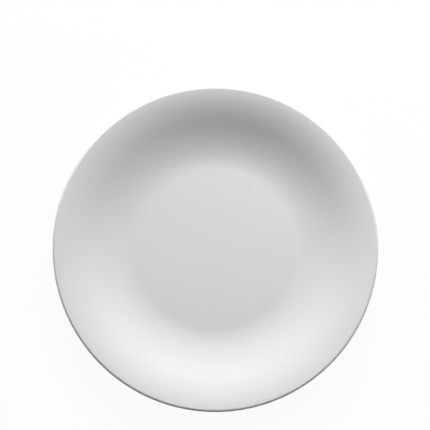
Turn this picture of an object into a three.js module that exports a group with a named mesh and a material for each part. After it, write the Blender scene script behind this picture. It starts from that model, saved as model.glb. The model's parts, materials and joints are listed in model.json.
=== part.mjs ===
// A flat (dinner) plate of white porcelain: one fired body with a flat well, a wall that sweeps up and
// flares out to a rolled lip, and a turned foot ring. The body is dipped in glaze, and the foot is wiped
// bare before firing, so the glaze is two separate coats: one over the plate, one inside the foot ring.
// Units are millimetres and degrees, +Z is up, and the origin is on the table under the plate's centre.

import * as THREE from 'three';

// Overall sizes, measured over the glaze
const plateDiameter = 270;
const plateHeight = 26;

// Upper face: flat well, wall, and the flare that runs out to the lip
const wellDiameter = 136;
const steepestDiameter = 212; // circle on which the wall stops curving up and starts to flare out
const flareAngle = 9; // slope that is left where the flare meets the lip
const easing = 0.5; // 0 bends evenly up to the steepest circle, 1 has no bend left there

// Thicknesses, glaze included on both faces
const floorThickness = 4.4;
const wallThickness = 4.2; // square to the wall, on the steepest circle
const lipThickness = 4.2;

// Foot ring
const footDiameter = 150; // outer edge of the ring on the table
const footWidth = 4.5; // of the ring on the table
const footSpread = 0.9; // each side of the ring leans out by this much towards its root
const footFillet = 1.2; // at the root
const footEdge = 0.7; // softening of the two edges on the table
const baseRecess = 3.4; // from the table up to the glazed base inside the ring

// Glaze
const glazeThickness = 0.25;
const bareHeight = 1.3; // the foot is wiped bare up to this height above the table

// Steps along each curve of the profile, and around the plate
const wallSteps = 6;
const flareSteps = 6;
const lipSteps = 6;
const cornerSteps = 2;
const turnSteps = 60;

const at = (radius, height) => new THREE.Vector2(radius, height);

// Along one side of the plate the profile lies in a plane of radius and height. Slopes are height over radius.
const flareTurn = THREE.MathUtils.degToRad(flareAngle);
const flareSlope = Math.tan(flareTurn);
const bodyLipRadius = lipThickness / 2 - glazeThickness;
const lipCentre = at(plateDiameter / 2 - lipThickness / 2, plateHeight - lipThickness / 2);
const lipReach = at(-Math.sin(flareTurn), Math.cos(flareTurn)).multiplyScalar(bodyLipRadius);

const baseHeight = baseRecess + glazeThickness;
const floorHeight = baseRecess + floorThickness - glazeThickness;

// Upper face. From the well to the steepest circle the slope grows as (1 + easing)t - easing·t², and from there
// to the lip it falls off the same way in reverse, so the surface has no kink. Each stretch then rises by its
// run times a share of the slope at its steep end. The steepest slope is what the height needs.
const wellEdge = at(wellDiameter / 2, floorHeight);
const flareEnd = lipCentre.clone().add(lipReach);
const wallRun = steepestDiameter / 2 - wellEdge.x;
const flareRun = flareEnd.x - steepestDiameter / 2;
const rise = flareEnd.y - floorHeight;
const riseShare = 1 / 2 + easing / 6;
const flareRise = flareRun * flareSlope * (1 - riseShare);
const steepestSlope = (rise - flareRise) / ((wallRun + flareRun) * riseShare);
const steepest = at(steepestDiameter / 2, floorHeight + wallRun * steepestSlope * riseShare);

// Underside: the same sweep, one wall thickness below
const underWell = at(wellEdge.x, baseHeight);
const underSteepest = at(steepestSlope, -1)
  .setLength(wallThickness - 2 * glazeThickness)
  .add(steepest);
const underFlare = lipCentre.clone().sub(lipReach);

// A cubic whose radius runs evenly from one end to the other, with a given slope at each end
function sweep(from, fromSlope, to, toSlope) {
  const third = (to.x - from.x) / 3;
  return new THREE.CubicBezierCurve(
    from,
    at(from.x + third, from.y + third * fromSlope),
    at(to.x - third, to.y - third * toSlope),
    to,
  );
}

const upperWall = sweep(wellEdge, 0, steepest, steepestSlope);
const upperFlare = sweep(steepest, steepestSlope, flareEnd, flareSlope);
const underWall = sweep(underWell, 0, underSteepest, steepestSlope);
const underFlareSweep = sweep(underSteepest, steepestSlope, underFlare, flareSlope);

const radiusShare = (curve, radius) => (radius - curve.v0.x) / (curve.v3.x - curve.v0.x);

// The curve from a radius to its outer end
function outwardFrom(curve, radius, steps) {
  const start = radiusShare(curve, radius);
  return Array.from({ length: steps + 1 }, (_, i) => curve.getPoint(THREE.MathUtils.lerp(start, 1, i / steps)));
}

// A corner softened by a parabola that touches both of its sides
function softCorner(before, corner, after, reach) {
  const start = before.clone().sub(corner).setLength(reach).add(corner);
  const end = after.clone().sub(corner).setLength(reach).add(corner);
  return new THREE.QuadraticBezierCurve(start, corner, end).getPoints(cornerSteps);
}

const heightOnLine = (low, high, height) => low.clone().lerp(high, (height - low.y) / (high.y - low.y));

// Foot ring: its edges on the table, and its roots in the base and in the underside of the wall
const innerEdge = at(footDiameter / 2 - footWidth, 0);
const outerEdge = at(footDiameter / 2, 0);
const innerRoot = at(innerEdge.x - footSpread, baseHeight);
const outerRootRadius = outerEdge.x + footSpread;
const outerRoot = underWall.getPoint(radiusShare(underWall, outerRootRadius));
const pastOuterRoot = underWall.getPoint(radiusShare(underWall, outerRootRadius + footFillet));

// The outline of the fired body, from the middle of the base round to the middle of the well, in three
// stretches: the glazed base, the bare foot, and the glazed shell.
const baseStretch = [
  at(0, baseHeight),
  ...softCorner(at(0, baseHeight), innerRoot, innerEdge, footFillet),
  heightOnLine(innerEdge, innerRoot, bareHeight),
];
const footStretch = [
  ...softCorner(innerRoot, innerEdge, outerEdge, footEdge),
  ...softCorner(innerEdge, outerEdge, outerRoot, footEdge),
];
const lipArc = new THREE.EllipseCurve(
  lipCentre.x,
  lipCentre.y,
  bodyLipRadius,
  bodyLipRadius,
  flareTurn - Math.PI / 2,
  flareTurn + Math.PI / 2,
);
const shellStretch = [
  heightOnLine(outerEdge, outerRoot, bareHeight),
  ...softCorner(outerEdge, outerRoot, pastOuterRoot, footFillet).slice(0, -1),
  ...outwardFrom(underWall, pastOuterRoot.x, wallSteps),
  ...underFlareSweep.getPoints(flareSteps).slice(1),
  ...lipArc.getPoints(lipSteps).slice(1),
  ...upperFlare.getPoints(flareSteps).reverse().slice(1),
  ...upperWall.getPoints(wallSteps).reverse().slice(1),
  at(0, floorHeight),
];

// The stretch moved out, square to itself, by the thickness of the coat
function coated(stretch, thickness) {
  const normals = stretch.slice(1).map((to, i) => at(to.y - stretch[i].y, stretch[i].x - to.x).normalize());
  return stretch.map((point, i) => {
    const before = normals[Math.max(i - 1, 0)];
    const after = normals[Math.min(i, normals.length - 1)];
    const mitre = before.clone().add(after).multiplyScalar(thickness / (1 + before.dot(after)));
    return point.clone().add(mitre);
  });
}

const porcelain = new THREE.MeshStandardMaterial({ color: 0xe2dfd8, roughness: 0.75, metalness: 0 });
const glaze = new THREE.MeshStandardMaterial({ color: 0xe9e9e9, roughness: 0.12, metalness: 0 });

const plate = new THREE.Group();
plate.name = 'flat_plate';
plate.rotation.x = Math.PI / 2; // the profiles turn about Y, and the plate stands on +Z

function turned(name, profile, material) {
  const piece = new THREE.Mesh(new THREE.LatheGeometry(profile, turnSteps), material);
  piece.name = name;
  plate.add(piece);
}

turned('porcelain_body', [...baseStretch, ...footStretch, ...shellStretch], porcelain);
turned('glaze_coat', [...shellStretch.toReversed(), ...coated(shellStretch, glazeThickness)], glaze);
turned('base_glaze', [...coated(baseStretch, glazeThickness), ...baseStretch.toReversed()], glaze);

export default plate;
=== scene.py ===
import json
import math

import bpy
import numpy as np
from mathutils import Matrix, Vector


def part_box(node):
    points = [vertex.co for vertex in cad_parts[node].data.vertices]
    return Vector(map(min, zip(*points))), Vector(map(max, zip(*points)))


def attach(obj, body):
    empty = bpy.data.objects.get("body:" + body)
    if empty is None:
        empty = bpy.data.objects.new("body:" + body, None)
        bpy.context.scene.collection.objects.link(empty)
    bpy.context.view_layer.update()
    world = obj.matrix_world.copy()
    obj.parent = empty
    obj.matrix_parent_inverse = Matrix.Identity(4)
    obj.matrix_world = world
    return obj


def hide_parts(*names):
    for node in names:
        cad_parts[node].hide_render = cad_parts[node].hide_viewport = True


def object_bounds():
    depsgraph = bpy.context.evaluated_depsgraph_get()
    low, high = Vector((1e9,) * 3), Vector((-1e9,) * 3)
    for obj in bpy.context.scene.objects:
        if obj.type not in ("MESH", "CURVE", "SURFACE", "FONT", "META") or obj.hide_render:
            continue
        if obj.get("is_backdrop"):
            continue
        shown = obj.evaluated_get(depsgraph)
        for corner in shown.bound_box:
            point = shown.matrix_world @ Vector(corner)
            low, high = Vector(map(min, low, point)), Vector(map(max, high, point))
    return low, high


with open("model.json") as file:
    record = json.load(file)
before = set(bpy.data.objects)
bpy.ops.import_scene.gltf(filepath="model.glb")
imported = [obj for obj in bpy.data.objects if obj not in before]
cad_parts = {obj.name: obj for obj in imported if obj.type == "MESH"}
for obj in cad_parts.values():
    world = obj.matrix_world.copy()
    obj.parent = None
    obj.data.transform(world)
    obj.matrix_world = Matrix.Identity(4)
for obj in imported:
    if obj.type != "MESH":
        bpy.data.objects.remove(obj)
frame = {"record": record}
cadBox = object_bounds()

mm = 0.001  # profiles are worked out in millimetres, meshes are in metres
scene = bpy.context.scene
scene.view_settings.view_transform = "Standard"


# Plate profile, in a plane of radius and height. Overall sizes come from the frame, the rest is set here.

plate = {
    "wellDiameter": 136,
    "steepestDiameter": 212,  # where the wall stops curving up and starts to flare out
    "flareAngle": 9,          # degrees of slope left where the flare meets the lip
    "easing": 0.5,            # 0 bends evenly up to the steepest circle, 1 has no bend left there
    "floorThickness": 4.4,
    "wallThickness": 4.2,
    "lipThickness": 4.2,
    "glazeThickness": 0.25,
    "footDiameter": 150,
    "footWidth": 4.5,
    "footSpread": 0.9,        # each side of the foot leans out this much towards its root
    "footFillet": 1.2,
    "footEdge": 0.7,
    "bareHeight": 1.3,        # the foot is wiped bare up to here
}
steps = {                     # along each curve of the profile, and round the plate
    "flatFace": 12,
    "fillet": 10,
    "footEdge": 8,
    "footSide": 14,
    "underWall": 30,
    "underFlare": 22,
    "lip": 32,
    "flare": 30,
    "wall": 40,
    "turn": 360,
    "hidden": 3,              # a face that a coat hides keeps only every third point
}
mountHeights = {mount["name"]: mount["pos_m"][2] / mm for mount in frame["record"]["mounts"]}
plateRadius, _, plateHeight = (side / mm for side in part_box("glaze_coat")[1])
wellHeight = mountHeights["well_floor"]  # glazed floor of the well
tableHeight = mountHeights["foot_ring"]


# one point of the profile
def point(radius, height):
    return np.array([radius, height], float)


# t from first to last as a column, count steps
def shares(count, first=0.0, last=1.0):
    return np.linspace(first, last, count + 1)[:, None]


# cubic in radius: height and slope are given at both ends, and radius runs evenly between them with t
def sweep(start, startSlope, end, endSlope, t):
    run = end[0] - start[0]
    radius = start[0] + t * run
    height = (start[1] * (1 + 2 * t) * (1 - t) ** 2 + run * startSlope * t * (1 - t) ** 2
              + end[1] * t ** 2 * (3 - 2 * t) + run * endSlope * t ** 2 * (t - 1))
    return np.hstack([radius, height])


# straight run from start to end, evenly stepped
def straight(start, end, count):
    return start + shares(count) * (end - start)


# parabola that touches both sides of a corner, reach away from it
def softCorner(before, corner, after, reach, count):
    t = shares(count)
    start = corner + reach * (before - corner) / np.linalg.norm(before - corner)
    end = corner + reach * (after - corner) / np.linalg.norm(after - corner)
    return (1 - t) ** 2 * start + 2 * t * (1 - t) * corner + t ** 2 * end


# where the line from low to high reaches the given height
def sideAtHeight(low, high, height):
    return low + (high - low) * (height - low[1]) / (high[1] - low[1])


glaze = plate["glazeThickness"]
flareTurn = math.radians(plate["flareAngle"])
flareSlope = math.tan(flareTurn)
lipRadius = plate["lipThickness"] / 2
bodyLipRadius = lipRadius - glaze
lipCentre = point(plateRadius - lipRadius, plateHeight - lipRadius)
lipReach = bodyLipRadius * point(-math.sin(flareTurn), math.cos(flareTurn))
floorHeight = wellHeight - glaze
baseHeight = wellHeight - plate["floorThickness"] + glaze

# from the well to the steepest circle the slope grows as (1 + easing)t - easing t squared, whose mean is
# 1/2 + easing/6, and from there to the lip it falls off the same way in reverse
wellEdge = point(plate["wellDiameter"] / 2, floorHeight)
flareEnd = lipCentre + lipReach
wallRun = plate["steepestDiameter"] / 2 - wellEdge[0]
flareRun = flareEnd[0] - plate["steepestDiameter"] / 2
riseShare = 1 / 2 + plate["easing"] / 6
flareRise = flareRun * flareSlope * (1 - riseShare)
steepestSlope = (flareEnd[1] - floorHeight - flareRise) / ((wallRun + flareRun) * riseShare)
steepest = point(wellEdge[0] + wallRun, floorHeight + wallRun * steepestSlope * riseShare)

# underside: one wall thickness below, square to the wall
wallNormal = point(steepestSlope, -1) / math.hypot(steepestSlope, 1)
underWell = point(wellEdge[0], baseHeight)
underSteepest = steepest + (plate["wallThickness"] - 2 * glaze) * wallNormal
underFlare = lipCentre - lipReach

# foot ring
innerEdge = point(plate["footDiameter"] / 2 - plate["footWidth"], tableHeight)
outerEdge = point(plate["footDiameter"] / 2, tableHeight)
innerRoot = point(innerEdge[0] - plate["footSpread"], baseHeight)


# underside below the wall: level under the well, as steep as the wall at its outer end
def underWall(t):
    return sweep(underWell, 0, underSteepest, steepestSlope, t)


# the t at which the underside has this radius
def shareOfUnderWall(radius):
    return (radius - underWell[0]) / (underSteepest[0] - underWell[0])


# the underside's point at this radius
def onUnderside(radius):
    return underWall(np.array([[shareOfUnderWall(radius)]]))[0]


outerRoot = onUnderside(outerEdge[0] + plate["footSpread"])
pastRoot = onUnderside(outerRoot[0] + plate["footFillet"])

# body outline from the middle of the base round to the middle of the well:
# glazed base, bare foot, glazed shell
innerFillet = softCorner(point(0, baseHeight), innerRoot, innerEdge, plate["footFillet"], steps["fillet"])
outerFillet = softCorner(outerEdge, outerRoot, pastRoot, plate["footFillet"], steps["fillet"])
innerBare = sideAtHeight(innerEdge, innerRoot, plate["bareHeight"])
outerBare = sideAtHeight(outerEdge, outerRoot, plate["bareHeight"])
lipTurn = shares(steps["lip"], flareTurn - math.pi / 2, flareTurn + math.pi / 2)
lipArc = lipCentre + bodyLipRadius * np.hstack([np.cos(lipTurn), np.sin(lipTurn)])
pastFillet = shares(steps["underWall"], shareOfUnderWall(pastRoot[0]), 1)

baseStretch = np.vstack([
    straight(point(0, baseHeight), innerFillet[0], steps["flatFace"]),
    innerFillet[1:],
    straight(innerFillet[-1], innerBare, steps["footSide"])[1:],
])
footStretch = np.vstack([
    softCorner(innerRoot, innerEdge, outerEdge, plate["footEdge"], steps["footEdge"]),
    softCorner(innerEdge, outerEdge, outerRoot, plate["footEdge"], steps["footEdge"]),
])
shellStretch = np.vstack([
    straight(outerBare, outerFillet[0], steps["footSide"]),
    outerFillet[1:-1],
    underWall(pastFillet),
    sweep(underSteepest, steepestSlope, underFlare, flareSlope, shares(steps["underFlare"]))[1:],
    lipArc[1:],
    sweep(flareEnd, flareSlope, steepest, steepestSlope, shares(steps["flare"]))[1:],
    sweep(steepest, steepestSlope, wellEdge, 0, shares(steps["wall"]))[1:],
    straight(wellEdge, point(0, floorHeight), steps["flatFace"])[1:],
])
print("profile: base", len(baseStretch), "foot", len(footStretch), "shell", len(shellStretch), "points")


# Turned pieces

# how far along the stretch each of its points is
def lengthAlong(stretch):
    return np.concatenate([[0], np.cumsum(np.linalg.norm(np.diff(stretch, axis=0), axis=1))])


glazeEdge = {
    "round": 0.45,      # the coat thins to nothing over this much of its edge
    "swell": 0.05,      # and is this much thicker a little further up, where it ran together
    "swellAt": 1.2,
    "swellWidth": 0.6,
    "unevenReach": 1.5,  # the wiped edge isn't quite level, and the coat follows it this far up
    "unevenHeights": (0.12, 0.07, 0.04),
    "unevenTurns": (3, 7, 13),
    "unevenPhases": (1.0, 0.4, 2.2),
}


# the stretch moved out, square to itself, by the thickness of the coat: a quarter ellipse at its edge,
# then a faint bell-shaped swell, then even
def coated(stretch, fromFoot):
    tangent = np.gradient(stretch, axis=0)
    normal = np.stack([tangent[:, 1], -tangent[:, 0]], axis=1)
    normal /= np.linalg.norm(normal, axis=1, keepdims=True)
    rounding = np.clip(fromFoot / glazeEdge["round"], 0, 1)
    swell = glazeEdge["swell"] * np.exp(-((fromFoot - glazeEdge["swellAt"]) / glazeEdge["swellWidth"]) ** 2)
    thickness = np.sqrt(1 - (1 - rounding) ** 2) * (glaze + swell)
    return stretch + normal * thickness[:, None]


# share of the edge's unevenness that each point of the stretch follows: all at the edge, less and less above
def edgeFollow(fromFoot):
    return np.clip(1 - fromFoot / glazeEdge["unevenReach"], 0, 1)


# closed profile turned about Z: ring points are (r cos a, r sin a, z), each end on the axis is one pole.
# Where edgeShare is given, a ring also rises and falls by that share of a few summed sine waves.
def turnedPiece(name, profile, edgeShare=None):
    turns = steps["turn"]
    angle = np.linspace(0, 2 * math.pi, turns, endpoint=False)
    rings = profile[1:-1]
    height = np.repeat(rings[:, 1:], turns, axis=1)
    if edgeShare is not None:
        waves = zip(glazeEdge["unevenHeights"], glazeEdge["unevenTurns"], glazeEdge["unevenPhases"])
        edge = sum(size * np.sin(count * angle + phase) for size, count, phase in waves)
        height = height + edgeShare[1:-1, None] * edge
    x = rings[:, :1] * np.cos(angle)
    y = rings[:, :1] * np.sin(angle)
    verts = np.stack([x, y, height], axis=2).reshape(-1, 3)
    poles = np.array([[0, 0, profile[0, 1]], [0, 0, profile[-1, 1]]])

    row, column = np.meshgrid(np.arange(len(rings) - 1), np.arange(turns), indexing="ij")
    nextColumn = (column + 1) % turns
    quads = np.stack([
        row * turns + column,
        row * turns + nextColumn,
        (row + 1) * turns + nextColumn,
        (row + 1) * turns + column,
    ], axis=2).reshape(-1, 4)
    firstPole = len(verts)
    here = np.arange(turns)
    there = (here + 1) % turns
    lastRow = (len(rings) - 1) * turns
    firstFan = np.stack([np.full(turns, firstPole), there, here], axis=1)
    lastFan = np.stack([np.full(turns, firstPole + 1), lastRow + here, lastRow + there], axis=1)

    mesh = bpy.data.meshes.new(name)
    mesh.from_pydata((np.vstack([verts, poles]) * mm).tolist(), [],
                     quads.tolist() + firstFan.tolist() + lastFan.tolist())
    mesh.polygons.foreach_set("use_smooth", np.ones(len(mesh.polygons), bool))
    mesh.update()
    piece = bpy.data.objects.new(name, mesh)
    scene.collection.objects.link(piece)
    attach(piece, "root")
    print("piece:", name, len(mesh.polygons), "faces")
    return piece


shellFromFoot = lengthAlong(shellStretch)
shellEdge = edgeFollow(shellFromFoot)
baseFromFoot = lengthAlong(baseStretch[::-1])[::-1]
baseEdge = edgeFollow(baseFromFoot)
inside = slice(None, None, steps["hidden"])

# the hidden face of a coat stops one ring short of the foot, where the coat thins to nothing and
# its outer face already has that ring
shellInside = shellStretch[:0:-1][inside]
shellInsideEdge = shellEdge[:0:-1][inside]
baseInside = baseStretch[:-1][inside][::-1]
baseInsideEdge = baseEdge[:-1][inside][::-1]

glazeOverPlate = turnedPiece(
    "glaze_over_plate",
    np.vstack([shellInside, coated(shellStretch, shellFromFoot)]),
    np.concatenate([shellInsideEdge, shellEdge]),
)
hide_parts("glaze_coat")

glazeInsideFoot = turnedPiece(
    "glaze_inside_foot",
    np.vstack([coated(baseStretch, baseFromFoot), baseInside]),
    np.concatenate([baseEdge, baseInsideEdge]),
)
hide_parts("base_glaze")

firedBody = turnedPiece(
    "fired_body",
    np.vstack([baseStretch[inside], footStretch, shellStretch[inside], shellStretch[-1:]]),
)
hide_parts("porcelain_body")


# Materials

# one output in a node tree: arithmetic on it adds Math nodes, add() makes any other node
class Wire:
    def __init__(self, tree, socket=None):
        self.tree = tree
        self.socket = socket

    def add(self, kind, settings=None, sockets=None, output=0):
        node = self.tree.nodes.new(kind)
        for key, value in (settings or {}).items():
            setattr(node, key, value)
        for key, value in (sockets or {}).items():
            if isinstance(value, Wire):
                self.tree.links.new(value.socket, node.inputs[key])
            else:
                node.inputs[key].default_value = value
        return Wire(self.tree, node.outputs[output] if node.outputs else None)

    def math(self, operation, first, second):
        return self.add("ShaderNodeMath", {"operation": operation}, {0: first, 1: second})

    def __add__(self, other):
        return self.math("ADD", self, other)

    def __radd__(self, other):
        return self.math("ADD", other, self)

    def __sub__(self, other):
        return self.math("SUBTRACT", self, other)

    def __rsub__(self, other):
        return self.math("SUBTRACT", other, self)

    def __mul__(self, other):
        return self.math("MULTIPLY", self, other)

    def __rmul__(self, other):
        return self.math("MULTIPLY", other, self)


# empty material and the tree to fill
def newMaterial(name):
    material = bpy.data.materials.new(name)
    material.use_nodes = True
    material.node_tree.nodes.clear()
    return material, Wire(material.node_tree)


def output(tree, surface):
    tree.add("ShaderNodeOutputMaterial", None, {"Surface": surface})


def objectPlace(tree):
    return tree.add("ShaderNodeTexCoord", None, None, "Object")


# noise with blotches of about the given size in millimetres
def noise(tree, place, size, detail):
    sockets = {"Vector": place, "Scale": 1 / (size * mm), "Detail": detail}
    return tree.add("ShaderNodeTexNoise", None, sockets, "Fac")


# first where the factor is 0, second where it is 1
def blend(tree, factor, first, second):
    colours = {"Factor": factor, "A": first, "B": second}
    return tree.add("ShaderNodeMix", {"data_type": "RGBA"}, colours, "Result")


# straight change from start to end while value goes from low to high, level outside
def ramp(tree, value, low, high, start, end):
    return tree.add("ShaderNodeMapRange", None, {
        "Value": value,
        "From Min": low,
        "From Max": high,
        "To Min": start,
        "To Max": end,
    })


# fired surface with this colour and roughness, its normal bent by a relief in metres
def firedSurface(tree, finish, colour, roughness, relief):
    bump = tree.add("ShaderNodeBump", None, {"Height": relief, "Strength": 1.0, "Distance": 1.0})
    shader = tree.add("ShaderNodeBsdfPrincipled", None, {
        "Base Color": colour,
        "Roughness": roughness,
        "IOR": finish["ior"],
        "Normal": bump,
    })
    output(tree, shader)


glazeFinish = {
    "white": (0.80, 0.80, 0.80, 1),
    "pooled": (0.785, 0.787, 0.787, 1),  # where the coat ran a little thicker
    "cloudSize": 45,       # mm
    "cloudDetail": 2,
    "rippleSize": 9,
    "peelSize": 1.6,
    "reliefDetail": 1,
    "rippleDepth": 0.010,  # mm
    "peelDepth": 0.0012,
    "roughness": 0.09,
    "roughnessSpread": 0.05,
    "ior": 1.5,
}


# white that turns to the pooled tone and gets rougher with a broad cloud, over a ripple and a fine peel
def makeGlaze():
    material, tree = newMaterial("gloss_glaze")
    place = objectPlace(tree)
    cloud = noise(tree, place, glazeFinish["cloudSize"], glazeFinish["cloudDetail"])
    ripple = noise(tree, place, glazeFinish["rippleSize"], glazeFinish["reliefDetail"])
    peel = noise(tree, place, glazeFinish["peelSize"], glazeFinish["reliefDetail"])
    colour = blend(tree, cloud, glazeFinish["white"], glazeFinish["pooled"])
    roughness = cloud * glazeFinish["roughnessSpread"] + glazeFinish["roughness"]
    relief = ripple * (glazeFinish["rippleDepth"] * mm) + peel * (glazeFinish["peelDepth"] * mm)
    firedSurface(tree, glazeFinish, colour, roughness, relief)
    return material


biscuitFinish = {
    "pale": (0.79, 0.77, 0.72, 1),
    "shade": (0.70, 0.67, 0.61, 1),
    "mottleSize": 6,       # mm
    "mottleDetail": 4,
    "grainSize": 0.35,
    "grainDetail": 2,
    "grainDepth": 0.03,
    "roughness": 0.72,
    "roughnessSpread": 0.12,
    "ior": 1.5,
}


# pale clay that turns darker and rougher with a mottle, over a fine grain
def makeBiscuit():
    material, tree = newMaterial("bare_biscuit")
    place = objectPlace(tree)
    mottle = noise(tree, place, biscuitFinish["mottleSize"], biscuitFinish["mottleDetail"])
    grain = noise(tree, place, biscuitFinish["grainSize"], biscuitFinish["grainDetail"])
    colour = blend(tree, mottle, biscuitFinish["pale"], biscuitFinish["shade"])
    roughness = mottle * biscuitFinish["roughnessSpread"] + biscuitFinish["roughness"]
    firedSurface(tree, biscuitFinish, colour, roughness, grain * (biscuitFinish["grainDepth"] * mm))
    return material


glazeMaterial = makeGlaze()
glazeOverPlate.data.materials.append(glazeMaterial)
glazeInsideFoot.data.materials.append(glazeMaterial)
firedBody.data.materials.append(makeBiscuit())
print("materials:", [material.name for material in bpy.data.materials])


# Floor and surroundings: white to the eye and in the gloss, and plain grey to the light they give back

surroundings = {
    "white": (1, 1, 1, 1),
    "floorSide": 12.0,       # m
    "floorDrop": 0.00005,    # under the foot, so that the two don't share a plane
    "floorColour": (0.82, 0.82, 0.82, 1),
    "whiteUnder": 0.6,       # share of white at the foot, the rest shows the floor's shade and the shadow
    "whiteBeside": 0.95,     # from just inside the rim outwards
    "whiteAfar": 1.0,        # at the far radius, so that no horizon shows
    "farRadius": 0.9,
    "fill": 0.080,           # of the light that comes from all round
    "ceiling": 0.45,         # what the gloss shows overhead
    "wallTop": 0.1,          # sine of the height at which white starts to fade to the ceiling
    "ceilingFrom": 0.8,
}


# 1 for what the camera sees, straight, mirrored or through something clear, and 0 for light that is passed on
def seenDirectly(tree):
    path = tree.add("ShaderNodeLightPath", None, None, "Is Camera Ray")
    outputs = path.socket.node.outputs
    glossy = Wire(tree.tree, outputs["Is Glossy Ray"])
    transmitted = Wire(tree.tree, outputs["Is Transmission Ray"])
    return path.math("MAXIMUM", path.math("MAXIMUM", path, glossy), transmitted)


# square of diffuse grey, mixed with white by a share that grows with the distance from the plate's axis
def makeFloor():
    half = surroundings["floorSide"] / 2
    low = tableHeight * mm - surroundings["floorDrop"]
    mesh = bpy.data.meshes.new("floor")
    mesh.from_pydata([(-half, -half, low), (half, -half, low), (half, half, low), (-half, half, low)],
                     [], [(0, 1, 2, 3)])
    floor = bpy.data.objects.new("floor", mesh)
    scene.collection.objects.link(floor)
    material, tree = newMaterial("pale_floor")
    shade = tree.add("ShaderNodeBsdfDiffuse", None, {"Color": surroundings["floorColour"]})
    white = tree.add("ShaderNodeEmission", None, {"Color": surroundings["white"], "Strength": 1.0})
    place = objectPlace(tree)
    radius = tree.add("ShaderNodeVectorMath", {"operation": "LENGTH"}, {0: place}, "Value")
    under, beside, afar = (surroundings[key] for key in ("whiteUnder", "whiteBeside", "whiteAfar"))
    footRadius = plate["footDiameter"] / 2 * mm
    rimRadius = lipCentre[0] * mm
    toRim = ramp(tree, radius, footRadius, rimRadius, under, beside)
    pastRim = ramp(tree, radius, rimRadius, surroundings["farRadius"], 0, afar - beside)
    share = seenDirectly(tree) * (toRim + pastRim)
    output(tree, tree.add("ShaderNodeMixShader", None, {0: share, 1: shade, 2: white}))
    mesh.materials.append(material)
    floor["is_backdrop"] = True


# white round the sides that fades to the ceiling's tone overhead, and an even fill for the light it gives
def makeWorld():
    world = bpy.data.worlds.new("studio")
    world.use_nodes = True
    world.node_tree.nodes.clear()
    tree = Wire(world.node_tree)
    direction = tree.add("ShaderNodeTexCoord", None, None, "Generated")
    height = tree.add("ShaderNodeSeparateXYZ", None, {0: direction}, "Z")
    wallTop, ceilingFrom, ceiling = (surroundings[key] for key in ("wallTop", "ceilingFrom", "ceiling"))
    shown = ramp(tree, height, wallTop, ceilingFrom, 1.0, ceiling)
    seen = seenDirectly(tree)
    strength = seen * shown + (1 - seen) * surroundings["fill"]
    sockets = {"Color": surroundings["white"], "Strength": strength}
    background = tree.add("ShaderNodeBackground", None, sockets)
    tree.add("ShaderNodeOutputWorld", None, {"Surface": background})
    scene.world = world


makeFloor()
makeWorld()


# Lamps: three soft boxes beyond the far side of the plate, lower and further off from right to left.
# The gloss doesn't mirror them, so that no hard-edged patch breaks the white of a low view.

lamps = {
    "right_soft_box": {"azimuth": 54, "elevation": 36, "distance": 1.2, "side": 0.6, "watts": 7.90},
    "middle_soft_box": {"azimuth": 88, "elevation": 28, "distance": 1.4, "side": 0.6, "watts": 12.72},
    "left_soft_box": {"azimuth": 112, "elevation": 19, "distance": 1.7, "side": 0.8, "watts": 14.97},
}


# square lamp at the distance along its azimuth and elevation, turned to face the origin
def addLamp(name, setting):
    azimuth = math.radians(setting["azimuth"])
    elevation = math.radians(setting["elevation"])
    level = math.cos(elevation)
    direction = Vector((level * math.cos(azimuth), level * math.sin(azimuth), math.sin(elevation)))
    light = bpy.data.lights.new(name, "AREA")
    light.shape = "SQUARE"
    light.size = setting["side"]
    light.energy = setting["watts"]
    lamp = bpy.data.objects.new(name, light)
    lamp.location = direction * setting["distance"]
    lamp.rotation_euler = (-direction).to_track_quat("-Z", "Y").to_euler()
    lamp.visible_camera = False
    lamp.visible_glossy = False
    scene.collection.objects.link(lamp)


for lampName, lampSetting in lamps.items():
    addLamp(lampName, lampSetting)
print("lamps:", list(lamps))


# Camera: almost straight above, aimed past the middle so that the plate stands where the photo has it

view = {
    "lens": 100,             # mm
    "sensor": 36,
    "distance": 0.9908,      # m, from the middle of the rim
    "lean": 1.0,             # degrees off straight down, towards the near side
    "aim": (-0.00084, 0.0276),
}
cameraData = bpy.data.cameras.new("camera")
cameraData.lens = view["lens"]
cameraData.sensor_width = view["sensor"]
camera = bpy.data.objects.new("camera", cameraData)
rimHeight = lipCentre[1] * mm
lean = math.radians(view["lean"])
camera.location = Vector((0, -math.sin(lean), math.cos(lean))) * view["distance"] + Vector((0, 0, rimHeight))
lookAlong = Vector((*view["aim"], rimHeight)) - camera.location
camera.rotation_euler = lookAlong.to_track_quat("-Z", "Y").to_euler()
scene.collection.objects.link(camera)
scene.camera = camera

boxes = {"cad": cadBox, "visual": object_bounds()}
boxes = {name: [list(corner) for corner in box] for name, box in boxes.items()}
print("size:", boxes)
